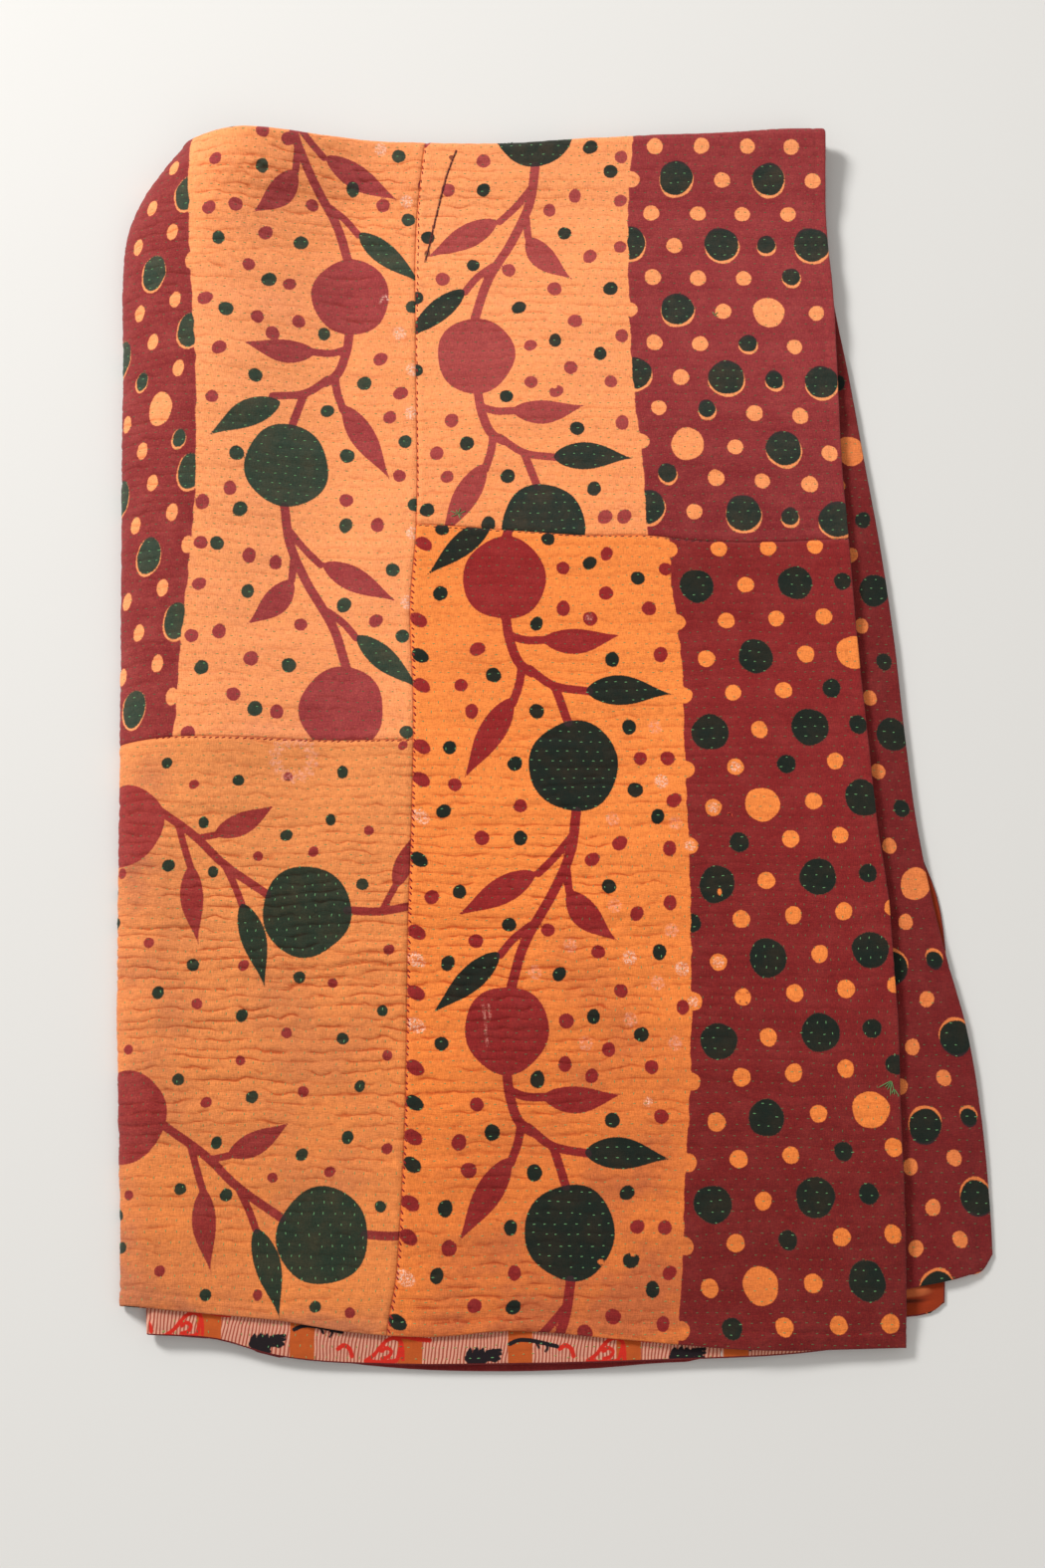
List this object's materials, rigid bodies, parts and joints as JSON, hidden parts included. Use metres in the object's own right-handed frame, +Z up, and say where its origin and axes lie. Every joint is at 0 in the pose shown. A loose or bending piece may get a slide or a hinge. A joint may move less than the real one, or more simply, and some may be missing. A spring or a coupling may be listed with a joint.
{
  "type": "kantha quilt, folded in four",
  "caption": "Kantha quilt of printed cotton patches with running stitch all over, folded in four with a soft roll on the left and a wing fanned out on the right.",
  "frame": {"origin": "middle of the folded quilt's outline, on the surface it lies on", "axes": "+Y from the open hems to the far fold, +X from the left roll to the wing, +Z up"},
  "size_m": [0.8003, 1.1866, 0.0571],
  "materials": {
    "face_cloth": "worn plain-weave cotton, orange ground printed with maroon and dark green, puckered by quilting",
    "backing_cloth": "worn plain-weave cotton, pink pinstripes with orange bands, printed in red and black",
    "thread": "soft cotton sewing thread, pale sage green",
    "seam_thread": "cotton sewing thread, brick red"
  },
  "bodies": {
    "root": {"quilt": "face_cloth"}
  },
  "joints": []
}
